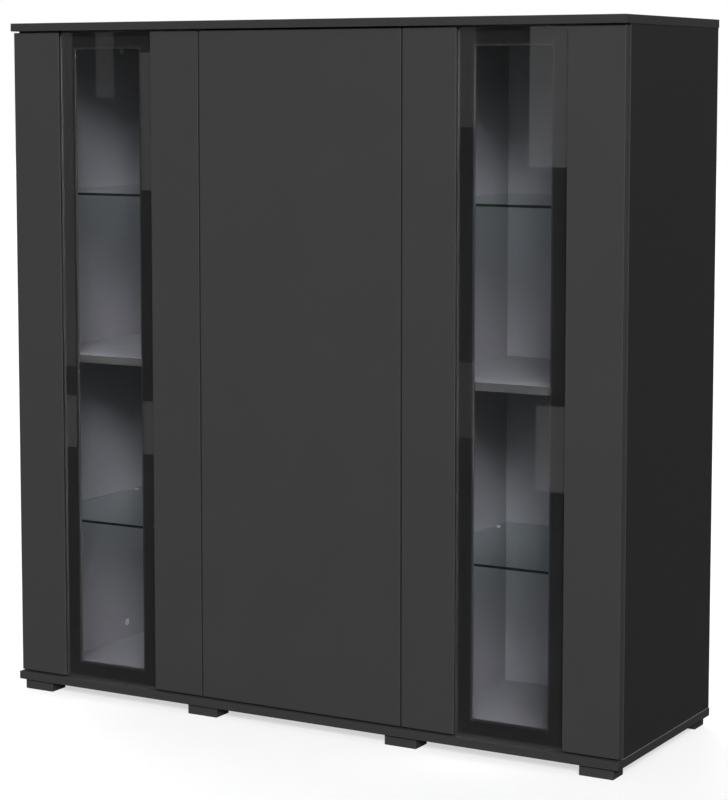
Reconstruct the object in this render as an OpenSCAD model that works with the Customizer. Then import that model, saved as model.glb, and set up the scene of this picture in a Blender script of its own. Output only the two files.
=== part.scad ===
// China cabinet with two glass doors and one plain door.
// The origin is at the centre of the footprint, on the floor. The doors face -Y and +Z is up.

/* [Cabinet] */
// Overall width, over the top and bottom boards
cabinet_w = 1350; // [1260:10:1500]
// Overall depth, from the boards' front edges to the back
cabinet_d = 440; // [380:10:500]
// Height from the bottom board's underside to the top board's upper face
body_h = 1350; // [1250:10:1450]
// Thickness of the boards, panels, shelves and doors
board_t = 16; // [16:1:19]
// Thickness of the back panels
back_t = 3; // [2:0.5:4]

/* [Feet] */
// Height of a foot
foot_h = 20; // [15:1:40]
// Width of a foot
foot_w = 68; // [50:1:80]
// Depth of a foot, front to back
foot_d = 44; // [30:1:60]

/* [Doors] */
// Gap between neighbouring doors, and above and below each door
door_gap = 3; // [3:0.5:4]
// How far the door fronts stand back from the boards' front edges
door_setback = 7; // [4:1:12]
// Room behind a door, for pressing it to work its latch
press_gap = 3; // [3:0.5:4]
// Angle to which the doors open
open_angle = 95; // [90:1:95]

/* [Glass] */
// Width of the plain strip on each side of a glass door
strip_w = 112; // [90:1:130]
// How far the glass lies behind the fronts of the strips
glass_recess = 6.25; // [4:0.25:6.5]
// Thickness of the door glass
glass_t = 4; // [3:0.5:4]
// Width of the border that shows behind the glass, round the window
window_border = 34; // [20:1:45]
// Thickness of a glass shelf
shelf_glass_t = 5; // [4:0.5:8]

/* [Hidden] */
$fn = 48;
cut = 1; // how far a cutting shape runs past a face
fit = 0.05; // radial room between a fastener and its hole

// Heights
floor_z = foot_h + board_t;
ceiling_z = foot_h + body_h - board_t;
inner_h = ceiling_z - floor_z;
centre_shelf_z = floor_z + (inner_h - board_t) / 2;
lower_shelf_z = (floor_z + centre_shelf_z) / 2;
upper_shelf_z = (centre_shelf_z + board_t + ceiling_z) / 2;

// Depths
front_y = -cabinet_d / 2;
back_y = cabinet_d / 2;
door_y = front_y + door_setback;
carcass_y = door_y + board_t + press_gap;
shelf_back_y = back_y - back_t - 2;

// Widths. Doors and compartments are numbered 0, 1 and 2 from the left
end_overhang = 1.5; // how far the boards reach past the side panels
door_inset = 3; // how far the outer doors stand in from the boards' ends
side_x = cabinet_w / 2 - end_overhang;
door_w = (cabinet_w - 2 * door_inset - 2 * door_gap) / 3;
door_h = inner_h - 2 * door_gap;
door_z = floor_z + door_gap;
partition_x = (door_w + door_gap) / 2;
room_x0 = [board_t - side_x, board_t / 2 - partition_x, partition_x + board_t / 2];
room_x1 = [-room_x0[2], -room_x0[1], -room_x0[0]];
shelf_side_gap = 0.5;
rebate_w = 8; // how far a back panel reaches over the edge that it is screwed to

// Feet
foot_setback = 6;
foot_end_inset = 12;
foot_x = cabinet_w / 2 - foot_end_inset - foot_w / 2;
foot_xs = [-foot_x, -partition_x, partition_x, foot_x];
foot_screw_spacing = 40;
foot_screw_below = 5; // of a foot screw lies in the foot
function foot_ys() = [front_y + foot_setback + foot_d / 2, back_y - foot_d / 2];

// Carcass fittings, with their places on every upright
cam_r = 7.5;
cam_t = 12.5;
cam_reach = 34; // from an upright's end to the middle of its cam lock
cam_ys = [-120, 140];
cam_bolt_r = 3.5;
bolt_into_board = 11;
dowel_r = 4;
dowel_into_board = 10;
dowel_into_upright = 20;
dowel_ys = [-80, 180];
shelf_pin_r = 2.5;
shelf_pin_in = 7.5;
shelf_pin_out = 8;
shelf_pin_ys = [carcass_y + 40, shelf_back_y - 40];
back_screw_rows = 4;
back_screw_r = 1.5;
back_screw_head_r = 3;
back_screw_head_t = 1.5;
back_screw_len = 14;

// Chipboard screws, which hold the feet, the latches and the wall brackets
screw_r = 1.75;
screw_head_r = 3.5;
screw_head_t = 2;
screw_len = 14;

// Wall brackets, under the top board in the middle compartment
bracket_leg = 30;
bracket_w = 24;
bracket_t = 2;
bracket_x = 150;
bracket_hole_drop = 18; // from the top board down to the wall screw's hole
wall_hole_r = 2.75;
bracket_back_y = back_y - back_t;

// Glass of the doors
glass_gap = 0.5;
tape_t = 0.5;
tape_inset = 4;

// Hinges. A hinge is drawn with x from the door's hinged edge, y from the door's front and
// z from the middle of the hinge
hinge_zs = [door_z + 96, door_z + 551, door_z + door_h - 96];
swing_x = 7;
swing_y = 5;
cup_r = 17.5;
cup_depth = 11.5;
cup_wall = 1;
cup_x = cup_r + 3;
cup_flange_t = 1;
cup_flange_x = 14;
cup_flange_w = 22;
cup_flange_h = 62;
cup_screw_x = cup_x + 9.5;
cup_screw_z = 24;
cup_screw_head_t = 0.8;
cup_screw_r = 2;
cup_screw_len = 11;
link_pin_r = 1.5;
link_eye_r = 3.2;
link_end_r = 2;
link_t = 2;
link_h = 8;
cup_pin = [9, board_t - 1];
arm_pin_y = board_t + 8;
// The arm's pin is as far from the cup's pin when the door is open as when it is shut
link_bisector = atan2(cup_pin[1] - swing_y, cup_pin[0] - swing_x) - open_angle / 2;
arm_pin = [swing_x + (arm_pin_y - swing_y) / tan(link_bisector), arm_pin_y];
link_angle = atan2(cup_pin[1] - arm_pin[1], cup_pin[0] - arm_pin[0]);
link_len = norm(cup_pin - arm_pin);
arm_h = 14;
arm_wall = 1.5;
arm_end_y = arm_pin_y + 68;
arm_top_x = arm_pin[0] + 4;
plate_y = board_t + press_gap + 37; // the row of plate screws, 37 mm behind the panel's edge
plate_base_d = 50;
plate_rib_d = 44;
plate_rib_h = 10;
plate_wing_d = 12;
plate_wing_h = 48;
plate_wing_t = 3;
arm_seat_x = panel_face_x(0) + plate_wing_t; // where the arm's edges stand on the plate
plate_screw_z = 16;
plate_screw_r = 3;
plate_screw_len = 12;

// Latches, drawn in the same way with z from the middle of the latch
latch_zs = [ceiling_z - 54, ceiling_z - 114, ceiling_z - 54];
latch_face_x = door_w + door_gap / 2 - board_t / 2;
latch_x = latch_face_x - 7;
latch_size = 14;
latch_front_y = board_t + press_gap + 2;
latch_len = 50;
latch_tab_y = latch_front_y + latch_len - 9;
latch_tab_w = 12;
latch_tab_t = 3;
latch_tab_h = 42;
latch_screw_z = 14;
plunger_r = 3;
plunger_room = 0.1;
plunger_tip_r = 4.5;
plunger_tip_t = 3;
plunger_len = 42;
latch_mouth_r = plunger_tip_r + 0.4;
latch_mouth_d = 5;
latch_bore_d = 46;
strike_r = 8;
strike_t = 1.2;
strike_gap = 0.5; // between a strike plate and its plunger

front_grey = "#3e3e3e";
side_grey = "#2b2b2b";
inside_grey = "#46464a";
steel = "#b9bbbd";

// ---- Placing ----

// Puts a shape drawn on the left half on the right half too
module on_both_sides() {
    children();
    mirror([1, 0, 0]) children();
}

// Frame of a door: x from its hinged edge and y from its front. The right door is mirrored
module at_door(i) {
    if (i == 2) {
        translate([cabinet_w / 2 - door_inset, door_y, 0]) mirror([1, 0, 0]) children();
    } else {
        translate([i * (door_w + door_gap) + door_inset - cabinet_w / 2, door_y, 0]) children();
    }
}

module at_hinges(i) {
    for (z = hinge_zs) at_door(i) translate([0, 0, z]) children();
}

module at_latch(i) {
    at_door(i) translate([0, 0, latch_zs[i]]) children();
}

// Turns a shape drawn along +Z so that it runs along +X or +Y
module along_x() {
    rotate([0, 90, 0]) children();
}

module along_y() {
    rotate([-90, 0, 0]) children();
}

// A rod from the origin along +Z with a wider head at its start
module headed_rod(r, length, head_r, head_t) {
    cylinder(r = r, h = length);
    cylinder(r = head_r, h = head_t);
}

// The hole for a headed rod, with its mouth cut open and room round it
module headed_hole(r, length, head_r, head_t) {
    translate([0, 0, -cut]) cylinder(r = r + fit, h = length + cut + fit);
    translate([0, 0, -cut]) cylinder(r = head_r + fit, h = head_t + cut);
}

// ---- Carcass joinery ----

// Repeats a shape at both ends of an upright, drawn with z from the end, into the upright
module at_upright_ends(x, ys) {
    for (y = ys) {
        translate([x, y, floor_z]) children();
        translate([x, y, ceiling_z]) mirror([0, 0, 1]) children();
    }
}

module cam_bolt(grow) {
    translate([0, 0, -bolt_into_board - grow])
        cylinder(r = cam_bolt_r + grow, h = bolt_into_board + cam_reach + 2 * grow);
}

module dowel(grow) {
    translate([0, 0, -dowel_into_board - grow])
        cylinder(r = dowel_r + grow, h = dowel_into_board + dowel_into_upright + 2 * grow);
}

// A cam lock lies in an upright with its face flush on the side where x is larger
module cam_pocket(grow) {
    translate([board_t / 2 - cam_t - grow, 0, cam_reach])
        along_x() cylinder(r = cam_r + grow, h = cam_t + grow + (grow > 0 ? cut : 0));
}

module cam_lock() {
    difference() {
        cam_pocket(0);
        cam_bolt(fit);
        translate([board_t / 2 - 2, -cam_r + 2, cam_reach - 0.75]) cube([2 + cut, 2 * cam_r - 4, 1.5]);
    }
}

module joinery_holes(x) {
    at_upright_ends(x, cam_ys) {
        cam_bolt(fit);
        cam_pocket(fit);
    }
    at_upright_ends(x, dowel_ys) dowel(fit);
}

module board_joinery_holes() {
    on_both_sides() for (x = [board_t / 2 - side_x, -partition_x]) {
        at_upright_ends(x, cam_ys) cam_bolt(fit);
        at_upright_ends(x, dowel_ys) dowel(fit);
    }
}

// Half the thickness of the lower and upper shelves of compartment i
function shelf_half(i) = (i == 1 ? board_t : shelf_glass_t) / 2;

// Shelf pins carry each shelf of compartment i. They are drawn with z into the compartment
module at_shelf_pins(i) {
    shelf_bottoms = [lower_shelf_z - shelf_half(i), centre_shelf_z, upper_shelf_z - shelf_half(i)];
    for (z = shelf_bottoms, y = shelf_pin_ys) {
        translate([room_x0[i], y, z - shelf_pin_r]) along_x() children();
        translate([room_x1[i], y, z - shelf_pin_r]) mirror([1, 0, 0]) along_x() children();
    }
}

module shelf_pin_holes(i) {
    at_shelf_pins(i)
        translate([0, 0, -shelf_pin_in - fit])
            cylinder(r = shelf_pin_r + fit, h = shelf_pin_in + fit + cut);
}

// ---- Fastener places, shared by the fasteners and their holes ----

// The feet's screws, drawn with z up from their heads in the foot
module at_foot_screws() {
    for (x = foot_xs, y = foot_ys(), s = [-1, 1])
        translate([x + s * foot_screw_spacing / 2, y, foot_h - foot_screw_below]) children();
}

// The latches' screws, drawn with z into the partition
module at_latch_screws(i) {
    for (s = [-1, 1])
        at_latch(i)
            translate([latch_face_x - latch_tab_t, latch_tab_y, s * latch_screw_z])
                along_x() children();
}

// The wall brackets' screws, drawn with z up into the top board
module at_bracket_screws() {
    for (x = [-bracket_x, bracket_x], s = [-1, 1])
        translate([x + s * bracket_w / 4, bracket_back_y - bracket_leg * 0.6, ceiling_z - bracket_t])
            children();
}

// The back panels' screws, drawn with z forwards from their heads
module at_back_screws() {
    screw_xs = [side_x - rebate_w / 2, partition_x + rebate_w / 2, partition_x - rebate_w / 2];
    on_both_sides() for (x = screw_xs, k = [0:back_screw_rows - 1])
        translate([x, back_y, floor_z + inner_h * (k + 0.5) / back_screw_rows])
            rotate([90, 0, 0]) children();
}

// The hinge plates' screws for door i, drawn with z into the panel
module at_plate_screws(i) {
    for (s = [-1, 1])
        at_hinges(i)
            translate([panel_face_x(i) + plate_wing_t, plate_y, s * plate_screw_z])
                rotate([0, -90, 0]) children();
}

// The cup screws for door i, drawn with z into the door
module at_cup_screws(i) {
    for (s = [-1, 1])
        at_hinges(i)
            translate([cup_screw_x, board_t + cup_flange_t + cup_screw_head_t, s * cup_screw_z])
                rotate([90, 0, 0]) children();
}

module chipboard_screw() headed_rod(screw_r, screw_len, screw_head_r, screw_head_t);
module chipboard_screw_hole() headed_hole(screw_r, screw_len, screw_head_r, screw_head_t);
module back_screw() headed_rod(back_screw_r, back_screw_len, back_screw_head_r, back_screw_head_t);
module back_screw_hole() headed_hole(back_screw_r, back_screw_len, back_screw_head_r, back_screw_head_t);

module plate_screw_hole() {
    translate([0, 0, -cut]) cylinder(r = plate_screw_r + fit, h = plate_screw_len + cut + fit);
}

// ---- Boards and panels ----

module board(z) {
    translate([-cabinet_w / 2, front_y, z]) cube([cabinet_w, cabinet_d, board_t]);
}

// The groove along a board's back edge that the back panels lie in
module board_rebate(z) {
    translate([-side_x, back_y - back_t, z]) cube([2 * side_x, back_t + cut, rebate_w]);
}

module bottom_board() {
    color(front_grey) difference() {
        board(foot_h);
        board_rebate(floor_z - rebate_w);
        board_joinery_holes();
        at_foot_screws() chipboard_screw_hole();
    }
}

module top_board() {
    color(front_grey) difference() {
        board(ceiling_z);
        board_rebate(ceiling_z);
        board_joinery_holes();
        at_bracket_screws() chipboard_screw_hole();
    }
}

module left_side_panel() {
    color(side_grey) difference() {
        translate([-side_x, carcass_y, floor_z]) cube([board_t, back_y - carcass_y, inner_h]);
        translate([-side_x + board_t - rebate_w, back_y - back_t, floor_z - cut])
            cube([rebate_w + cut, back_t + cut, inner_h + 2 * cut]);
        joinery_holes(board_t / 2 - side_x);
        shelf_pin_holes(0);
        at_plate_screws(0) plate_screw_hole();
        at_back_screws() back_screw_hole();
    }
}

module right_side_panel() {
    mirror([1, 0, 0]) left_side_panel();
}

module partition() {
    translate([-partition_x - board_t / 2, carcass_y, floor_z])
        cube([board_t, back_y - back_t - carcass_y, inner_h]);
}

module left_partition() {
    color(inside_grey) difference() {
        partition();
        joinery_holes(-partition_x);
        shelf_pin_holes(0);
        shelf_pin_holes(1);
        at_plate_screws(1) plate_screw_hole();
        at_latch_screws(0) chipboard_screw_hole();
        at_back_screws() back_screw_hole();
    }
}

module right_partition() {
    color(inside_grey) difference() {
        mirror([1, 0, 0]) partition();
        mirror([1, 0, 0]) joinery_holes(-partition_x);
        shelf_pin_holes(1);
        shelf_pin_holes(2);
        at_latch_screws(1) chipboard_screw_hole();
        at_latch_screws(2) chipboard_screw_hole();
        at_back_screws() back_screw_hole();
    }
}

// ---- Back panels ----

// A back panel from x0 to x1, let into the rebates of the two boards
module back_panel(x0, x1) {
    color(inside_grey) difference() {
        translate([x0, back_y - back_t, floor_z - rebate_w])
            cube([x1 - x0, back_t, inner_h + 2 * rebate_w]);
        at_back_screws() back_screw_hole();
        at_wall_holes() cylinder(r = wall_hole_r, h = back_t + 2 * cut);
    }
}

module middle_back_panel() {
    back_panel(shelf_side_gap - partition_x, partition_x - shelf_side_gap);
}

module left_back_panel() {
    back_panel(-side_x + board_t - rebate_w, -partition_x - shelf_side_gap);
}

module right_back_panel() {
    mirror([1, 0, 0]) left_back_panel();
}

// The wall screws' holes through the back, drawn with z backwards
module at_wall_holes() {
    for (x = [-bracket_x, bracket_x])
        translate([x, back_y - back_t - cut, ceiling_z - bracket_hole_drop]) along_y() children();
}

// ---- Shelves ----

// A shelf of thickness t across compartment i
module shelf(i, z, t) {
    translate([room_x0[i] + shelf_side_gap, carcass_y, z])
        cube([room_x1[i] - room_x0[i] - 2 * shelf_side_gap, shelf_back_y - carcass_y, t]);
}

module wood_shelf(i, z) {
    color(inside_grey) shelf(i, z, board_t);
}

module glass_shelf(i, z) {
    color("LightCyan", 0.4) shelf(i, z - shelf_glass_t / 2, shelf_glass_t);
}

module shelf_pins() {
    color(steel) for (i = [0:2]) at_shelf_pins(i)
        translate([0, 0, -shelf_pin_in]) cylinder(r = shelf_pin_r, h = shelf_pin_in + shelf_pin_out);
}

// ---- Feet ----

module foot(x, y) {
    color(front_grey) difference() {
        translate([x - foot_w / 2, y - foot_d / 2, 0]) cube([foot_w, foot_d, foot_h]);
        at_foot_screws() {
            chipboard_screw_hole();
            mirror([0, 0, 1]) translate([0, 0, -cut]) cylinder(r = screw_head_r + fit, h = foot_h + cut);
        }
    }
}

// ---- Fasteners of the carcass ----

// Repeats a joinery fitting on all four uprights
module on_uprights(ys) {
    on_both_sides() for (x = [board_t / 2 - side_x, -partition_x]) at_upright_ends(x, ys) children();
}

module cam_locks() {
    color(steel) on_uprights(cam_ys) cam_lock();
}

module cam_bolts() {
    color(steel) on_uprights(cam_ys) cam_bolt(0);
}

module wood_dowels() {
    color("BurlyWood") on_uprights(dowel_ys) dowel(0);
}

module back_panel_screws() {
    color("dimgray") at_back_screws() back_screw();
}

module chipboard_screws() {
    color(steel) {
        at_foot_screws() chipboard_screw();
        at_bracket_screws() chipboard_screw();
        for (i = [0:2]) at_latch_screws(i) chipboard_screw();
    }
}

// ---- Wall brackets ----

module wall_bracket() {
    translate([-bracket_w / 2, bracket_back_y - bracket_leg, ceiling_z - bracket_t])
        cube([bracket_w, bracket_leg, bracket_t]);
    translate([-bracket_w / 2, bracket_back_y - bracket_t, ceiling_z - bracket_leg])
        cube([bracket_w, bracket_t, bracket_leg]);
}

module wall_brackets() {
    color(steel) difference() {
        for (x = [-bracket_x, bracket_x]) translate([x, 0, 0]) wall_bracket();
        at_bracket_screws() chipboard_screw_hole();
        at_wall_holes() translate([0, 0, -2 * bracket_t]) cylinder(r = wall_hole_r, h = 4 * bracket_t);
    }
}

// ---- Hinges ----

// Where the panel that carries door i's hinges has its face, from the door's hinged edge
function panel_face_x(i) = i == 1 ? (board_t - door_gap) / 2 : end_overhang - door_inset + board_t;

module plate_box(x0, x1, d, h) {
    translate([x0, plate_y - d / 2, -h / 2]) cube([x1 - x0, d, h]);
}

// A hinge plate. The base is thicker where the door covers less of the panel's edge
module hinge_plates() {
    color(steel) for (i = [0:2]) difference() {
        at_hinges(i) {
            plate_box(panel_face_x(i), arm_seat_x, plate_base_d, arm_h);
            plate_box(panel_face_x(i), arm_seat_x + plate_rib_h, plate_rib_d, arm_h - 2 * arm_wall - 1);
            plate_box(panel_face_x(i), panel_face_x(i) + plate_wing_t, plate_wing_d, plate_wing_h);
        }
        at_plate_screws(i) plate_screw_hole();
    }
}

module hinge_plate_screws() {
    color(steel) for (i = [0:2]) at_plate_screws(i) cylinder(r = plate_screw_r, h = plate_screw_len);
}

// A round eye for a pin, from z0 to z1
module eye(centre, r, z0, z1) {
    translate([centre[0], centre[1], z0]) cylinder(r = r, h = z1 - z0);
}

// The arm is a channel over the plate's rib, with two cheeks that hold the link's pin
module hinge_arm() {
    cheek_r = arm_top_x - arm_pin[0];
    link_room = link_h / 2 + 0.3;
    difference() {
        union() {
            translate([arm_seat_x, arm_pin_y + cheek_r, -arm_h / 2])
                cube([arm_top_x - arm_seat_x, arm_end_y - arm_pin_y - cheek_r, arm_h]);
            translate([arm_pin[0] - cheek_r, arm_pin_y, -arm_h / 2]) cube([2 * cheek_r, cheek_r, arm_h]);
            eye(arm_pin, cheek_r, -arm_h / 2, arm_h / 2);
        }
        translate([arm_seat_x - cut, arm_pin_y + cheek_r + arm_wall, arm_wall - arm_h / 2])
            cube([arm_top_x - arm_seat_x - arm_wall + cut, arm_end_y, arm_h - 2 * arm_wall]);
        translate([0, 0, -link_room]) cube([arm_top_x + cut, arm_pin_y + cheek_r, 2 * link_room]);
        eye(arm_pin, link_pin_r + fit, -arm_h, arm_h);
    }
}

module hinge_arms() {
    color(steel) for (i = [0:2]) at_hinges(i) hinge_arm();
}

module hinge_pins() {
    color(steel) for (i = [0:2]) at_hinges(i) eye(arm_pin, link_pin_r, -arm_h / 2, arm_h / 2);
}

// The link turns on the arm's pin. Its other end is rolled round the cup's pins
module hinge_link() {
    difference() {
        union() {
            eye(arm_pin, link_eye_r, -link_h / 2, link_h / 2);
            eye(cup_pin, link_end_r, -link_h / 2, link_h / 2);
            translate([arm_pin[0], arm_pin[1], -link_h / 2]) rotate([0, 0, link_angle])
                translate([0, -link_t / 2, 0]) cube([link_len, link_t, link_h]);
        }
        eye(arm_pin, link_pin_r + fit, -arm_h, arm_h);
    }
}

module hinge_links(i) {
    color(steel) at_hinges(i) hinge_link();
}

// A cylinder along Y in the middle of the hinge cup, from y0 to y1
module cup_disc(r, y0, y1) {
    translate([cup_x, y0, 0]) along_y() cylinder(r = r, h = y1 - y0);
}

module hinge_cup() {
    flange_y = board_t + cup_flange_t;
    inner_r = cup_r - fit - cup_wall;
    difference() {
        union() {
            cup_disc(cup_r - fit, board_t - cup_depth + fit, board_t);
            translate([cup_flange_x, board_t, -cup_flange_h / 2])
                cube([cup_flange_w, cup_flange_t, cup_flange_h]);
            intersection() {
                cup_disc(cup_r + 1.5, board_t, flange_y);
                translate([cup_flange_x, 0, -cup_flange_h]) cube([cup_flange_h, flange_y, 2 * cup_flange_h]);
            }
        }
        cup_disc(inner_r, board_t - cup_depth + cup_wall, flange_y + cut);
    }
    // Stubs of the pin at the cup's side, above and below the link
    for (s = [0, 1]) mirror([0, 0, s]) intersection() {
        eye(cup_pin, 1, link_h / 2 + 0.5, cup_r);
        cup_disc(cup_r - fit - cup_wall / 2, 0, board_t);
    }
}

module hinge_cups(i) {
    color(steel) difference() {
        at_hinges(i) hinge_cup();
        at_cup_screws(i) translate([0, 0, -cut]) cylinder(r = cup_screw_r + fit, h = 5);
    }
}

module cup_screws(i) {
    color(steel) at_cup_screws(i) headed_rod(cup_screw_r, cup_screw_len, 2 * cup_screw_r, cup_screw_head_t);
}

// Everything that is bored into door i for its hinges
module door_hinge_holes(i) {
    at_hinges(i) cup_disc(cup_r, board_t - cup_depth, board_t + cut);
    at_cup_screws(i) translate([0, 0, -cut]) cylinder(r = cup_screw_r + fit, h = cup_screw_len + cut + fit);
}

// ---- Doors ----

module door_slab() {
    translate([0, 0, door_z]) cube([door_w, board_t, door_h]);
}

// A glass door is one milled board: a channel for the glass with a window in the middle of it
module glass_door_frame(i) {
    channel_w = door_w - 2 * strip_w;
    color(front_grey) difference() {
        at_door(i) difference() {
            door_slab();
            translate([strip_w, -cut, door_z - cut])
                cube([channel_w, glass_recess + glass_t + tape_t + cut, door_h + 2 * cut]);
            translate([strip_w + window_border, 0, door_z + window_border])
                cube([channel_w - 2 * window_border, board_t + cut, door_h - 2 * window_border]);
        }
        door_hinge_holes(i);
    }
}

module door_glass(i) {
    color("LightCyan", 0.35) at_door(i)
        translate([strip_w + glass_gap, glass_recess, door_z + glass_gap])
            cube([door_w - 2 * (strip_w + glass_gap), glass_t, door_h - 2 * glass_gap]);
}

// The mounting tape is a thin frame between the glass and the border behind it
module door_tape(i) {
    tape_w = window_border - 2 * tape_inset;
    color("black") at_door(i) difference() {
        translate([strip_w + tape_inset, glass_recess + glass_t, door_z + tape_inset])
            cube([door_w - 2 * (strip_w + tape_inset), tape_t, door_h - 2 * tape_inset]);
        translate([strip_w + tape_inset + tape_w, 0, door_z + tape_inset + tape_w])
            cube([door_w - 2 * (strip_w + tape_inset + tape_w), board_t, door_h - 2 * (tape_inset + tape_w)]);
    }
}

module middle_door_panel() {
    color(front_grey) difference() {
        at_door(1) door_slab();
        door_hinge_holes(1);
    }
}

// ---- Push latches ----

module latch_housing() {
    difference() {
        union() {
            translate([latch_face_x - latch_size, latch_front_y, -latch_size / 2])
                cube([latch_size, latch_len, latch_size]);
            translate([latch_face_x - latch_tab_t, latch_tab_y - latch_tab_w / 2, -latch_tab_h / 2])
                cube([latch_tab_t, latch_tab_w, latch_tab_h]);
        }
        translate([latch_x, latch_front_y - cut, 0]) along_y() {
            cylinder(r = plunger_r + plunger_room, h = latch_bore_d + cut);
            cylinder(r = latch_mouth_r, h = latch_mouth_d + cut);
        }
    }
}

module latch_housings() {
    color("dimgray") for (i = [0:2]) difference() {
        at_latch(i) latch_housing();
        at_latch_screws(i) chipboard_screw_hole();
    }
}

module latch_plunger(i) {
    color("gray") at_latch(i)
        translate([latch_x, board_t + strike_t + strike_gap, 0]) along_y()
            headed_rod(plunger_r, plunger_len, plunger_tip_r, plunger_tip_t);
}

module strike_plate(i) {
    color(steel) at_latch(i)
        translate([latch_x, board_t, 0]) along_y() cylinder(r = strike_r, h = strike_t);
}

// ---- Nodes ----

bottom_board();
top_board();
left_side_panel();
right_side_panel();
left_partition();
right_partition();
left_back_panel();
middle_back_panel();
right_back_panel();
wood_shelf(0, centre_shelf_z);  // left_wood_shelf
wood_shelf(2, centre_shelf_z);  // right_wood_shelf
wood_shelf(1, lower_shelf_z - board_t / 2);  // middle_lower_shelf
wood_shelf(1, centre_shelf_z);  // middle_centre_shelf
wood_shelf(1, upper_shelf_z - board_t / 2);  // middle_upper_shelf
glass_shelf(0, lower_shelf_z);  // left_lower_glass_shelf
glass_shelf(0, upper_shelf_z);  // left_upper_glass_shelf
glass_shelf(2, lower_shelf_z);  // right_lower_glass_shelf
glass_shelf(2, upper_shelf_z);  // right_upper_glass_shelf
foot(foot_xs[0], foot_ys()[0]);  // front_foot_1
foot(foot_xs[1], foot_ys()[0]);  // front_foot_2
foot(foot_xs[2], foot_ys()[0]);  // front_foot_3
foot(foot_xs[3], foot_ys()[0]);  // front_foot_4
foot(foot_xs[0], foot_ys()[1]);  // back_foot_1
foot(foot_xs[1], foot_ys()[1]);  // back_foot_2
foot(foot_xs[2], foot_ys()[1]);  // back_foot_3
foot(foot_xs[3], foot_ys()[1]);  // back_foot_4
cam_locks();
cam_bolts();
wood_dowels();
shelf_pins();
back_panel_screws();
chipboard_screws();
wall_brackets();
hinge_plates();
hinge_plate_screws();
hinge_arms();
hinge_pins();
latch_housings();
glass_door_frame(0);  // left_door_frame
door_glass(0);  // left_door_glass
door_tape(0);  // left_door_tape
hinge_cups(0);  // left_hinge_cups
cup_screws(0);  // left_cup_screws
strike_plate(0);  // left_strike_plate
middle_door_panel();
hinge_cups(1);  // middle_hinge_cups
cup_screws(1);  // middle_cup_screws
strike_plate(1);  // middle_strike_plate
glass_door_frame(2);  // right_door_frame
door_glass(2);  // right_door_glass
door_tape(2);  // right_door_tape
hinge_cups(2);  // right_hinge_cups
cup_screws(2);  // right_cup_screws
strike_plate(2);  // right_strike_plate
hinge_links(0);  // left_hinge_links
hinge_links(1);  // middle_hinge_links
hinge_links(2);  // right_hinge_links
latch_plunger(0);  // left_latch_plunger
latch_plunger(1);  // middle_latch_plunger
latch_plunger(2);  // right_latch_plunger
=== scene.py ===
"""Looks of the china cabinet: materials, eased edges, camera and studio round the fixed CAD frame."""
import math

import bpy
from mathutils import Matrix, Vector


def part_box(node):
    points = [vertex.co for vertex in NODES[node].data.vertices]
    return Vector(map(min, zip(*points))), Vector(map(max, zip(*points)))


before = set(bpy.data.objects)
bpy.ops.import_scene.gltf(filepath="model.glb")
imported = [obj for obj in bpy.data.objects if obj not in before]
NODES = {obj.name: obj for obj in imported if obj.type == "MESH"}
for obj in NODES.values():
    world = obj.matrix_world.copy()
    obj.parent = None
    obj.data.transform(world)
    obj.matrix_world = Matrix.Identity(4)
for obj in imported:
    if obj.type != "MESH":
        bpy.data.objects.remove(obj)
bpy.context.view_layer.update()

# Colours, as linear values
FRONT_GREY = (0.0253, 0.0253, 0.0257)
# painted shade: the outsides of the side panels are drawn darker than the fronts
SIDE_SHADE_GREY = (0.0114, 0.0114, 0.0117)
# lighter than the fronts: partly the interior's colour, partly painted light that brightens the compartments
INSIDE_GREY_AND_LIGHT = (0.116, 0.116, 0.130)
FOOT_GREY = (0.021, 0.021, 0.0214)
BARE_HARDBOARD = (0.21, 0.118, 0.058)
BEECH = (0.56, 0.36, 0.19)
NICKEL = (0.66, 0.65, 0.63)
ZINC = (0.60, 0.62, 0.65)
BLACK = (0.002, 0.002, 0.0022)
PLASTIC_GREY = (0.10, 0.10, 0.105)
PLUNGER_GREY = (0.24, 0.24, 0.25)
GLASS_GREEN = (0.50, 0.84, 0.75)
WHITE = (1.0, 1.0, 1.0)
PAPER = (0.86, 0.86, 0.86)

# Boards
FRONT_ROUGHNESS = 0.5
SIDE_ROUGHNESS = 0.46
INSIDE_ROUGHNESS = 0.42
FLAT_ROUGHNESS = 0.72  # the top and bottom boards
BARE_ROUGHNESS = 0.78  # the back of the hardboard
BOARD_SHINE = 0.38  # specular level
FLAT_SHINE = 0.1  # low, because the flat top would glare at low angles
CLOUD_SCALE = 5.0
CLOUD_DEPTH = 0.035

# The black in the channels of the glass doors, in metres: black paint on the web behind the glass, and
# painted shade on the channel's walls
SHADE_BESIDE_GLASS = 0.0006  # how far the black reaches past the sides of the glass, as painted shade on the channel's walls
PAINT_BEHIND_GLASS = 0.001  # and past its back
SHADE_BEHIND_FRONT = 0.0012  # how far behind the face of the door the black starts, as painted shade on the channel's walls

# How far the edges are eased, in metres
BOARD_EDGE = 0.0008
DOOR_EDGE = 0.0010
FOOT_EDGE = 0.0010
FITTING_EDGE = 0.0003
SHELF_GLASS_EDGE = 0.0004
DOOR_GLASS_EDGE = 0.00015
TAPE_INSET = 0.00005
SAME_PLACE = 1e-6  # vertices nearer than this are one
SHARP_TURN = 40.0  # degrees
SHORT_EDGE = 0.006  # the rims of the bores are made of edges shorter than this

# Studio
AMBIENT = 0.32  # the even light from all round
DIM_FLOOR = 0.07  # how bright the lower part of the room is in reflections
BRIGHT_CEILING = 0.9  # and the upper part
FLOOR_SIZE = 60.0
FLOOR_BOUNCE = 0.35  # how much light the paper throws back onto the cabinet
FLOOR_GLOW = 0.6  # how much of the paper that the eye sees is lit from within
CARD_DISTANCE = 0.7  # how far the cards stand beyond the glass, as a share of the camera's distance


# ---- Node helpers ----
# A holder is the material or world that a node belongs to.

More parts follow.
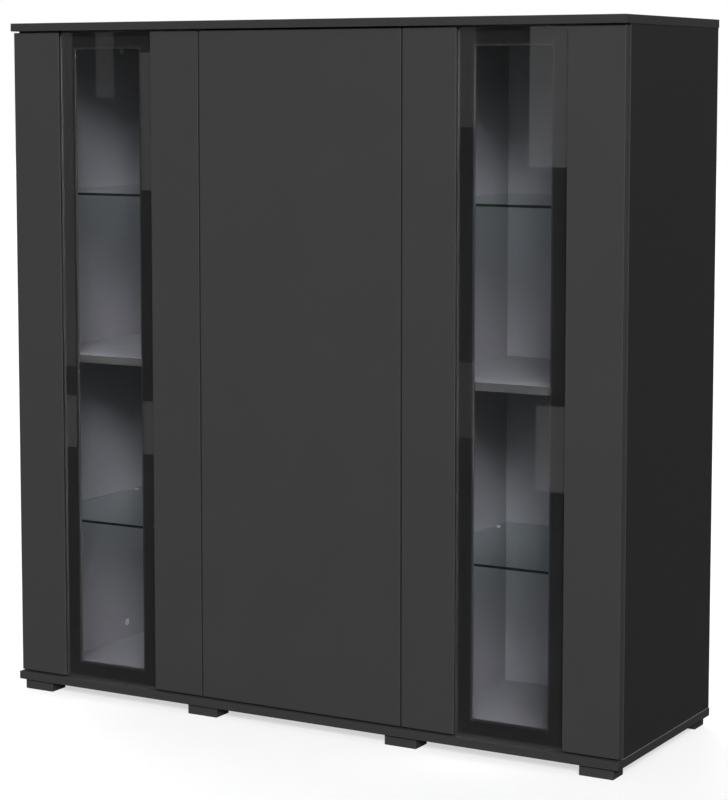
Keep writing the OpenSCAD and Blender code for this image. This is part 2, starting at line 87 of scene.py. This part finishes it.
def tone(colour, factor=1.0):
    """A colour with its alpha, made lighter or darker by factor."""
    return tuple(channel * factor for channel in colour) + (1.0,)


def principled(material):
    return material.node_tree.nodes["Principled BSDF"]


def new_material(name):
    """A node material and its Principled shader."""
    material = bpy.data.materials.new(name)
    material.use_nodes = True
    return material, principled(material)


def add(holder, kind, **settings):
    """A new node with properties set by their names."""
    node = holder.node_tree.nodes.new(kind)
    for name, value in settings.items():
        setattr(node, name, value)
    return node


def link(holder, source, target):
    holder.node_tree.links.new(source, target)


def feed(holder, socket, value):
    """Links a socket if value is another socket, and sets it if value is a number or colour."""
    if isinstance(value, bpy.types.NodeSocket):
        link(holder, value, socket)
    else:
        socket.default_value = value


def object_place(material):
    """Position in the cabinet's own frame, in metres. It moves with the body."""
    return add(material, "ShaderNodeTexCoord").outputs["Object"]


def along_axes(holder, vector):
    """The X, Y and Z outputs of a vector."""
    parts = add(holder, "ShaderNodeSeparateXYZ")
    link(holder, vector, parts.inputs["Vector"])
    return parts.outputs


def stretched(material, scale):
    """The place in the cabinet times a scale along each axis. A small scale draws a texture out."""
    mapping = add(material, "ShaderNodeMapping")
    mapping.inputs["Scale"].default_value = scale
    link(material, object_place(material), mapping.inputs["Vector"])
    return mapping.outputs["Vector"]


def noise(material, place, scale, detail=2.0):
    """Noise from 0 to 1 whose features are about 1 / scale metres across."""
    node = add(material, "ShaderNodeTexNoise")
    node.inputs["Scale"].default_value = scale
    node.inputs["Detail"].default_value = detail
    link(material, place, node.inputs["Vector"])
    return node.outputs["Fac"]


def spread(holder, value, low, high, start=0.3, end=0.7):
    """Maps value from start to end onto low to high, and keeps it there beyond them."""
    node = add(holder, "ShaderNodeMapRange")
    for name, number in (("From Min", start), ("From Max", end), ("To Min", low), ("To Max", high)):
        node.inputs[name].default_value = number
    link(holder, value, node.inputs["Value"])
    return node.outputs["Result"]


def blend_colours(holder, share, first, second):
    """first where share is 0, second where it is 1."""
    node = add(holder, "ShaderNodeMix", data_type="RGBA")
    feed(holder, node.inputs["Factor"], share)
    feed(holder, node.inputs["A"], first)
    feed(holder, node.inputs["B"], second)
    return node.outputs["Result"]


def combine(holder, operation, first, second):
    """The result of a Math node whose inputs are sockets or numbers."""
    node = add(holder, "ShaderNodeMath", operation=operation)
    feed(holder, node.inputs[0], first)
    feed(holder, node.inputs[1], second)
    return node.outputs["Value"]


def mix_shaders(holder, share, first, second):
    """first where share is 0, second where it is 1."""
    node = add(holder, "ShaderNodeMixShader")
    feed(holder, node.inputs["Fac"], share)
    link(holder, first, node.inputs[1])
    link(holder, second, node.inputs[2])
    return node.outputs["Shader"]


def bumps(material, shader, height, strength, depth):
    """Raises the surface by height times depth, in metres."""
    node = add(material, "ShaderNodeBump")
    node.inputs["Strength"].default_value = strength
    node.inputs["Distance"].default_value = depth
    link(material, height, node.inputs["Height"])
    link(material, node.outputs["Normal"], shader.inputs["Normal"])


def facing(material, axis, sign):
    """1 on faces that look along an axis of the cabinet in the direction of sign, and 0 elsewhere."""
    normal = along_axes(material, add(material, "ShaderNodeTexCoord").outputs["Normal"])
    return spread(material, normal[axis], 0.0, 1.0, start=0.6 * sign, end=0.8 * sign)


def between(material, value, low, high):
    """1 where value lies from low to high, and 0 elsewhere."""
    above = combine(material, "GREATER_THAN", value, low)
    below = combine(material, "LESS_THAN", value, high)
    return combine(material, "MULTIPLY", above, below)


def repaint(material, share, colour):
    """Changes the colour of a material where share is 1."""
    socket = principled(material).inputs["Base Color"]
    before = socket.links[0].from_socket
    link(material, blend_colours(material, share, before, colour), socket)


# ---- Materials ----

def mottled(material, place, colour, scale, amount):
    """A colour that drifts a little lighter and darker."""
    share = noise(material, place, scale, detail=3.0)
    return blend_colours(material, share, tone(colour, 1 - amount), tone(colour, 1 + amount))


def clouded(material, colour):
    """The colour of a board, with faint clouds."""
    return mottled(material, object_place(material), colour, CLOUD_SCALE, CLOUD_DEPTH)


def board_material(name, colour, roughness):
    """Matt foil or melamine: faint clouds and a fine pearl structure."""
    material, shader = new_material(name)
    place = object_place(material)
    link(material, clouded(material, colour), shader.inputs["Base Color"])
    handled = noise(material, place, scale=9.0, detail=4.0)
    link(material, spread(material, handled, roughness - 0.02, roughness + 0.02), shader.inputs["Roughness"])
    shader.inputs["Specular IOR Level"].default_value = BOARD_SHINE
    pearl = noise(material, place, scale=1100.0)
    bumps(material, shader, pearl, strength=0.35, depth=0.00006)
    return material


def inside_board_material():
    """A board in the inside grey, which is lighter than the fronts partly as painted light, with its front
    edge band in the colour of the doors.
    """
    material = board_material("inside_board", INSIDE_GREY_AND_LIGHT, INSIDE_ROUGHNESS)
    repaint(material, facing(material, "Y", -1), tone(FRONT_GREY))
    return material


def side_panel_material(side):
    """A side panel: the inside grey (partly painted light) inside, the front colour on its edge band, and a
    darker grey on its outside that is painted shade.
    """
    material = board_material(side + "_side_board", INSIDE_GREY_AND_LIGHT, SIDE_ROUGHNESS)
    outward = -1 if side == "left" else 1
    # painted shade: the outside of the panel in a darker grey
    repaint(material, facing(material, "X", outward), clouded(material, SIDE_SHADE_GREY))
    repaint(material, facing(material, "Y", -1), tone(FRONT_GREY))
    return material


def lined_board_material(name, sign):
    """A top or bottom board: the front colour, and the inside grey, partly painted light, where it closes
    the compartments.
    sign is 1 if that face looks up and -1 if it looks down."""
    material = board_material(name, FRONT_GREY, FLAT_ROUGHNESS)
    principled(material).inputs["Specular IOR Level"].default_value = FLAT_SHINE
    door_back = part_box("middle_door_panel")[1].y
    place = along_axes(material, object_place(material))
    behind_doors = combine(material, "GREATER_THAN", place["Y"], door_back)
    lined = combine(material, "MULTIPLY", behind_doors, facing(material, "Z", sign))
    repaint(material, lined, clouded(material, INSIDE_GREY_AND_LIGHT))
    return material


def glass_door_material(side):
    """The matt front, with the channel for the glass in black: black paint on the web behind the glass, and
    painted shade on the channel's walls.
    """
    material = board_material(side + "_glass_door", FRONT_GREY, FRONT_ROUGHNESS)
    low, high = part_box(side + "_door_glass")
    door_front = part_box(side + "_door_frame")[0].y
    place = along_axes(material, object_place(material))
    across = between(material, place["X"], low.x - SHADE_BESIDE_GLASS, high.x + SHADE_BESIDE_GLASS)
    behind = between(material, place["Y"], door_front + SHADE_BEHIND_FRONT, high.y + PAINT_BEHIND_GLASS)
    # painted shade on the channel's side walls, and black paint on the web behind the glass
    repaint(material, combine(material, "MULTIPLY", across, behind), tone(BLACK))
    return material


def hardboard_material():
    """Back panel: painted on the inside in the inside grey, which is partly painted light, and bare fibre
    with a fine mesh on the back.
    """
    material, shader = new_material("back_hardboard")
    fibres = noise(material, stretched(material, (1.0, 1.0, 0.25)), scale=420.0, detail=6.0)
    shade = spread(material, fibres, 0.0, 1.0, start=0.35, end=0.65)
    bare = blend_colours(material, shade, tone(BARE_HARDBOARD, 0.78), tone(BARE_HARDBOARD, 1.2))
    behind = facing(material, "Y", 1)
    colour = blend_colours(material, behind, clouded(material, INSIDE_GREY_AND_LIGHT), bare)
    link(material, colour, shader.inputs["Base Color"])
    roughness = spread(material, behind, FRONT_ROUGHNESS, BARE_ROUGHNESS, start=0.0, end=1.0)
    link(material, roughness, shader.inputs["Roughness"])
    shader.inputs["Specular IOR Level"].default_value = 0.3
    bumps(material, shader, fibres, strength=0.5, depth=0.00012)
    return material


def plastic_material(name, colour, roughness, grain):
    """Moulded plastic with a spark-eroded grain."""
    material, shader = new_material(name)
    place = object_place(material)
    colour = mottled(material, place, colour, scale=40.0, amount=0.06)
    link(material, colour, shader.inputs["Base Color"])
    pits = noise(material, place, grain, detail=3.0)
    link(material, spread(material, pits, roughness - 0.06, roughness + 0.06), shader.inputs["Roughness"])
    bumps(material, shader, pits, strength=0.5, depth=0.00008)
    return material


def metal_material(name, colour, roughness, clouds):
    """Dull plated steel that scatters some light, with fine rolling marks and patches in the plating."""
    material, shader = new_material(name)
    place = object_place(material)
    colour = mottled(material, place, colour, clouds, amount=0.10)
    link(material, colour, shader.inputs["Base Color"])
    shader.inputs["Metallic"].default_value = 0.72
    marks = noise(material, stretched(material, (1.0, 0.06, 1.0)), scale=2600.0, detail=2.0)
    link(material, spread(material, marks, roughness - 0.05, roughness + 0.12), shader.inputs["Roughness"])
    bumps(material, shader, marks, strength=0.2, depth=0.00002)
    return material


def beech_material():
    """Dowels: pale wood with grain along their length and short dark flecks."""
    material, shader = new_material("beech")
    grain = noise(material, stretched(material, (1.0, 1.0, 0.04)), scale=900.0, detail=5.0)
    flecks = noise(material, stretched(material, (1.0, 1.0, 0.15)), scale=1500.0, detail=1.0)
    wood = blend_colours(material, spread(material, grain, 0.0, 1.0), tone(BEECH, 0.8), tone(BEECH, 1.12))
    dark = spread(material, flecks, 0.0, 0.5, start=0.62, end=0.7)
    link(material, blend_colours(material, dark, wood, tone(BEECH, 0.5)), shader.inputs["Base Color"])
    shader.inputs["Roughness"].default_value = 0.7
    bumps(material, shader, grain, strength=0.4, depth=0.0001)
    return material


def glass_material(name, density, lamp_share):
    """Float glass, green through its depth. Each face lets lamp_share of the lamps' light through."""
    material, shader = new_material(name)
    place = object_place(material)
    shader.inputs["Base Color"].default_value = tone(WHITE)
    shader.inputs["Transmission Weight"].default_value = 1.0
    shader.inputs["IOR"].default_value = 1.5
    smears = noise(material, place, scale=7.0, detail=4.0)
    link(material, spread(material, smears, 0.0, 0.025, start=0.45, end=0.75), shader.inputs["Roughness"])
    waves = noise(material, place, scale=2.2, detail=0.0)
    bumps(material, shader, waves, strength=0.1, depth=0.0005)
    lamp_ray = add(material, "ShaderNodeLightPath").outputs["Is Shadow Ray"]
    clear = add(material, "ShaderNodeBsdfTransparent")
    clear.inputs["Color"].default_value = tone(WHITE, lamp_share)
    output = material.node_tree.nodes["Material Output"]
    whole = mix_shaders(material, lamp_ray, shader.outputs["BSDF"], clear.outputs["BSDF"])
    link(material, whole, output.inputs["Surface"])
    depth = add(material, "ShaderNodeVolumeAbsorption")
    depth.inputs["Color"].default_value = tone(GLASS_GREEN)
    depth.inputs["Density"].default_value = density
    link(material, depth.outputs["Volume"], output.inputs["Volume"])
    return material


def tape_material():
    """Black foam tape with a closed-cell texture."""
    material, shader = new_material("mounting_tape")
    place = object_place(material)
    cells = add(material, "ShaderNodeTexVoronoi")
    cells.inputs["Scale"].default_value = 1400.0
    link(material, place, cells.inputs["Vector"])
    colour = mottled(material, place, BLACK, scale=60.0, amount=0.1)
    link(material, colour, shader.inputs["Base Color"])
    shader.inputs["Roughness"].default_value = 0.85
    shader.inputs["Specular IOR Level"].default_value = 0.06
    bumps(material, shader, cells.outputs["Distance"], strength=0.5, depth=0.0001)
    return material


def shared_finishes():
    """The finishes by the slot that a CAD node was packed with, for nodes with none of their own."""
    return {
        "front_lacquer": board_material("matt_front", FRONT_GREY, FRONT_ROUGHNESS),
        "inside_laminate": inside_board_material(),
        "back_hardboard": hardboard_material(),
        "door_glass": glass_material("door_pane", density=3.0, lamp_share=0.98),
        "shelf_glass": glass_material("shelf_pane", density=24.0, lamp_share=0.64),
        "mounting_tape": tape_material(),
        "foot_plastic": plastic_material("foot_moulding", FOOT_GREY, roughness=0.55, grain=1500.0),
        "beech": beech_material(),
        "latch_plastic": plastic_material("latch_moulding", PLASTIC_GREY, roughness=0.45, grain=1800.0),
        "plunger_plastic": plastic_material("plunger_moulding", PLUNGER_GREY, roughness=0.35, grain=2200.0),
        "hinge_steel": metal_material("nickel_plate", NICKEL, roughness=0.30, clouds=90.0),
        "screw_steel": metal_material("zinc_plate", ZINC, roughness=0.32, clouds=400.0),
    }


def own_finishes():
    """The finishes made for one CAD node each, by the node's name."""
    finishes = {
        "bottom_board": lined_board_material("bottom_board", sign=1),
        "top_board": lined_board_material("top_board", sign=-1),
    }
    for side in ("left", "right"):
        finishes[side + "_side_panel"] = side_panel_material(side)
        finishes[side + "_door_frame"] = glass_door_material(side)
    return finishes


def finish_cabinet():
    """Paints every CAD node."""
    shared = shared_finishes()
    own = own_finishes()
    for name, node in NODES.items():
        slot = node.data.materials[0].name.split(".")[0]
        node.data.materials[0] = own[name] if name in own else shared[slot]


# ---- Edges ----

def compare(group, value, least):
    """True where value is greater than least."""
    node = group.nodes.new("FunctionNodeCompare")
    node.inputs["B"].default_value = least
    group.links.new(value, node.inputs["A"])
    return node.outputs["Result"]


def edge_group(name, store):
    """A geometry node group. store(group, geometry, sharp) returns the geometry that goes out of it,
    and sharp is true on the edges that turn by more than SHARP_TURN."""
    group = bpy.data.node_groups.new(name, "GeometryNodeTree")
    for direction in ("INPUT", "OUTPUT"):
        group.interface.new_socket("Geometry", in_out=direction, socket_type="NodeSocketGeometry")
    start = group.nodes.new("NodeGroupInput")
    turn = group.nodes.new("GeometryNodeInputMeshEdgeAngle")
    sharp = compare(group, turn.outputs["Unsigned Angle"], math.radians(SHARP_TURN))
    end = group.nodes.new("NodeGroupOutput")
    group.links.new(store(group, start.outputs[0], sharp), end.inputs[0])
    return group


def weigh_long_edges(group, geometry, sharp):
    """Gives every long sharp edge a bevel weight of 1, and leaves out the rims of the bores."""
    ends = group.nodes.new("GeometryNodeInputMeshEdgeVertices")
    length = group.nodes.new("ShaderNodeVectorMath")
    length.operation = "DISTANCE"
    group.links.new(ends.outputs["Position 1"], length.inputs[0])
    group.links.new(ends.outputs["Position 2"], length.inputs[1])
    chosen = group.nodes.new("FunctionNodeBooleanMath")
    group.links.new(sharp, chosen.inputs[0])
    group.links.new(compare(group, length.outputs["Value"], SHORT_EDGE), chosen.inputs[1])
    weigh = group.nodes.new("GeometryNodeStoreNamedAttribute")
    weigh.domain = "EDGE"
    weigh.inputs["Name"].default_value = "bevel_weight_edge"
    weigh.inputs["Value"].default_value = 1.0
    group.links.new(geometry, weigh.inputs["Geometry"])
    group.links.new(chosen.outputs["Boolean"], weigh.inputs["Selection"])
    return weigh.outputs["Geometry"]


def smooth_faces(group, geometry, sharp):
    """Shades every face smooth, and keeps the sharp edges sharp."""
    faces = group.nodes.new("GeometryNodeSetShadeSmooth")
    edges = group.nodes.new("GeometryNodeSetShadeSmooth")
    edges.domain = "EDGE"
    edges.inputs["Shade Smooth"].default_value = False
    group.links.new(geometry, faces.inputs["Geometry"])
    group.links.new(faces.outputs["Geometry"], edges.inputs["Geometry"])
    group.links.new(sharp, edges.inputs["Selection"])
    return edges.outputs["Geometry"]


def weld(node):
    """Joins the loose triangles of a CAD node into one skin."""
    node.modifiers.new("weld", "WELD").merge_threshold = SAME_PLACE


def ease_edges(names, width, weigh, smooth):
    """Rounds the long sharp edges of the named CAD nodes by width, in metres."""
    for name in names:
        node = NODES[name]
        weld(node)
        node.modifiers.new("long_edges", "NODES").node_group = weigh
        bevel = node.modifiers.new("eased_edges", "BEVEL")
        bevel.width = width
        bevel.segments = 3
        bevel.limit_method = "WEIGHT"
        bevel.loop_slide = False  # sliding would leave spikes along the seams between the triangles
        bevel.use_clamp_overlap = False
        node.modifiers.new("smooth_faces", "NODES").node_group = smooth
        normals = node.modifiers.new("face_normals", "WEIGHTED_NORMAL")
        normals.weight = 100
        normals.keep_sharp = True


def shrink(names, amount):
    """Draws the faces of the named CAD nodes in by amount, clear of the pane of glass that they touch."""
    for name in names:
        weld(NODES[name])
        inset = NODES[name].modifiers.new("inset", "DISPLACE")
        inset.mid_level = 0.0
        inset.strength = -amount


def nodes_with(*endings):
    return sorted(name for name in NODES if name.endswith(endings))


def ease_all_edges():
    weigh = edge_group("long_edges", weigh_long_edges)
    smooth = edge_group("smooth_faces", smooth_faces)
    boards = nodes_with("_board", "_side_panel", "_partition")
    wood_shelves = nodes_with("_wood_shelf", "_lower_shelf", "_centre_shelf", "_upper_shelf")
    feet = [name for name in NODES if "_foot_" in name]
    fittings = nodes_with("hinge_arms", "hinge_plates", "_hinge_links", "latch_housings", "wall_brackets")
    for names, width in (
        (boards + wood_shelves, BOARD_EDGE),
        (nodes_with("_door_frame", "_door_panel"), DOOR_EDGE),
        (nodes_with("_glass_shelf"), SHELF_GLASS_EDGE),
        (nodes_with("_door_glass"), DOOR_GLASS_EDGE),
        (feet, FOOT_EDGE),
        (fittings, FITTING_EDGE),
    ):
        ease_edges(names, width, weigh, smooth)
    shrink(nodes_with("_door_tape"), TAPE_INSET)


# ---- Camera and studio ----

def add_camera():
    """A long lens in front of the cabinet, to its right."""
    data = bpy.data.cameras.new("camera")
    data.lens = 106.659
    data.sensor_width = 36.0
    data.shift_y = -0.1
    camera = bpy.data.objects.new("camera", data)
    camera.location = (2.3467, -4.0499, 1.2472)
    camera.rotation_euler = (math.radians(84.328), 0.0, math.radians(29.848))
    bpy.context.scene.collection.objects.link(camera)
    bpy.context.scene.camera = camera


def staged_sheet(name, corners, material):
    """A flat four-sided sheet that belongs to the studio."""
    mesh = bpy.data.meshes.new(name)
    mesh.from_pydata(corners, [], [(0, 1, 2, 3)])
    mesh.materials.append(material)
    sheet = bpy.data.objects.new(name, mesh)
    bpy.context.scene.collection.objects.link(sheet)
    return sheet


def ray_kinds(holder):
    """Two shares: 1 for what the eye sees directly or through glass, and 1 for what a surface mirrors."""
    rays = add(holder, "ShaderNodeLightPath").outputs
    bounces = combine(holder, "ADD", rays["Diffuse Depth"], rays["Glossy Depth"])
    unbounced = combine(holder, "LESS_THAN", bounces, 1.0)
    through_glass = combine(holder, "MULTIPLY", rays["Is Transmission Ray"], unbounced)
    seen = combine(holder, "MAXIMUM", rays["Is Camera Ray"], through_glass)
    reflected = combine(holder, "GREATER_THAN", rays["Glossy Depth"], 0.5)
    mirrored = combine(holder, "MULTIPLY", rays["Is Glossy Ray"], reflected)
    return seen, mirrored


def floor_material():
    """Pale paper. It is partly lit from within for the eye only, which keeps the shadows pale.
    It throws less light back onto the cabinet, and mirrors as a dim floor, as if the paper ended nearby."""
    material, shader = new_material("paper")
    seen, mirrored = ray_kinds(material)
    colour = blend_colours(material, seen, tone(PAPER, FLOOR_BOUNCE), tone(PAPER))
    link(material, colour, shader.inputs["Base Color"])
    shader.inputs["Roughness"].default_value = 0.9
    shader.inputs["Specular IOR Level"].default_value = 0.0
    glow = add(material, "ShaderNodeEmission")
    dim = add(material, "ShaderNodeEmission")
    dim.inputs["Strength"].default_value = DIM_FLOOR
    share = combine(material, "MULTIPLY", seen, FLOOR_GLOW)
    lit = mix_shaders(material, share, shader.outputs["BSDF"], glow.outputs["Emission"])
    whole = mix_shaders(material, mirrored, lit, dim.outputs["Emission"])
    link(material, whole, material.node_tree.nodes["Material Output"].inputs["Surface"])
    return material


def add_floor():
    half = FLOOR_SIZE / 2
    corners = [(-half, -half, 0.0), (half, -half, 0.0), (half, half, 0.0), (-half, half, 0.0)]
    staged_sheet("floor", corners, floor_material())


def background(world, strength):
    node = add(world, "ShaderNodeBackground")
    node.inputs["Color"].default_value = tone(WHITE)
    feed(world, node.inputs["Strength"], strength)
    return node.outputs["Background"]


def add_world():
    """White to the eye, an even light on surfaces, and a dim room with a bright ceiling in reflections."""
    world = bpy.data.worlds.new("studio")
    world.use_nodes = True
    bpy.context.scene.world = world
    seen, mirrored = ray_kinds(world)
    direction = along_axes(world, add(world, "ShaderNodeTexCoord").outputs["Generated"])
    ceiling = spread(world, direction["Z"], DIM_FLOOR, BRIGHT_CEILING, start=0.1, end=0.8)
    lit = mix_shaders(world, seen, background(world, AMBIENT), background(world, 1.0))
    whole = mix_shaders(world, mirrored, lit, background(world, ceiling))
    link(world, whole, world.node_tree.nodes["World Output"].inputs["Surface"])


def add_lamp(name, kind, energy):
    lamp = bpy.data.objects.new(name, bpy.data.lights.new(name, kind))
    lamp.data.energy = energy
    bpy.context.scene.collection.objects.link(lamp)
    return lamp


def turn_back_on(lamp, direction):
    """Makes a lamp shine from direction."""
    lamp.rotation_euler = direction.to_track_quat("Z", "Y").to_euler()


def add_far_light(name, azimuth, elevation, strength, spread_angle):
    """A broad, far lamp. Azimuth 0 shines along +Y, and positive azimuths come from the right."""
    lamp = add_lamp(name, "SUN", strength)
    lamp.data.angle = math.radians(spread_angle)
    turn = math.radians(azimuth)
    rise = math.radians(elevation)
    level = math.cos(rise)
    turn_back_on(lamp, Vector((math.sin(turn) * level, -math.cos(turn) * level, math.sin(rise))))
    return lamp


def add_fill_light(place, target, power):
    """A soft round box that lights the right side, most at its top front corner."""
    lamp = add_lamp("fill", "AREA", power)
    lamp.data.shape = "DISK"
    lamp.data.size = 1.2
    lamp.visible_camera = False
    lamp.location = place
    turn_back_on(lamp, Vector(place) - Vector(target))


def card_material(strength):
    """Black, and lit from within."""
    material, shader = new_material("card")
    shader.inputs["Base Color"].default_value = tone((0.0, 0.0, 0.0))
    shader.inputs["Specular IOR Level"].default_value = 0.0
    shader.inputs["Emission Color"].default_value = tone(WHITE)
    shader.inputs["Emission Strength"].default_value = strength
    return material


def card_corners(x0, x1, z0, z1):
    """The corners of a card that the camera sees mirrored in the door glass from x0 to x1 and z0 to z1."""
    eye = bpy.context.scene.camera.location
    glass_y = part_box("left_door_glass")[0].y
    mirrored_eye = Vector((eye.x, 2 * glass_y - eye.y, eye.z))
    on_glass = [Vector((x, glass_y, z)) for x, z in ((x0, z0), (x1, z0), (x1, z1), (x0, z1))]
    return [corner + CARD_DISTANCE * (corner - mirrored_eye) for corner in on_glass]


def add_reflection_cards():
    """Faint blocks of light in the door glass, like the windows and walls of a room. Only reflections see
    them. Each row says where a block shows on the glass (x0, x1, z0, z1), and how bright it is."""
    on_right_glass = (
        (0.483, 0.640, 1.10, 1.45, 0.95),
        (0.500, 0.640, 0.49, 0.67, 0.70),
        (0.500, 0.640, 0.27, 0.37, 0.45),
        (0.330, 0.375, 1.17, 1.45, 0.45),
        (0.330, 0.375, 0.60, 0.74, 0.35),
    )
    on_left_glass = (
        (-0.473, -0.429, 1.22, 1.45, 0.45),
        (-0.365, -0.300, 1.04, 1.31, 0.70),
        (-0.365, -0.300, 0.20, 0.62, 0.65),
        (-0.600, -0.530, 0.68, 1.45, 0.45),
        (-0.600, -0.530, 0.46, 0.62, 0.62),
    )
    for x0, x1, z0, z1, strength in on_right_glass + on_left_glass:
        card = staged_sheet("card", card_corners(x0, x1, z0, z1), card_material(strength))
        card.visible_camera = False
        card.visible_diffuse = False
        card.visible_transmission = False
        card.visible_shadow = False


def build_studio():
    add_camera()
    add_floor()
    add_world()
    add_reflection_cards()
    add_far_light("key", azimuth=32, elevation=28, strength=4.5, spread_angle=18)
    back_light = add_far_light("back_light", azimuth=225, elevation=38, strength=3.1, spread_angle=50)
    back_light.visible_glossy = False  # it would glare on the top board
    add_fill_light(place=(2.5, -0.6, 2.0), target=(0.67, -0.2, 1.2), power=5.0)
    bpy.context.scene.view_settings.view_transform = "Standard"


finish_cabinet()
ease_all_edges()
build_studio()
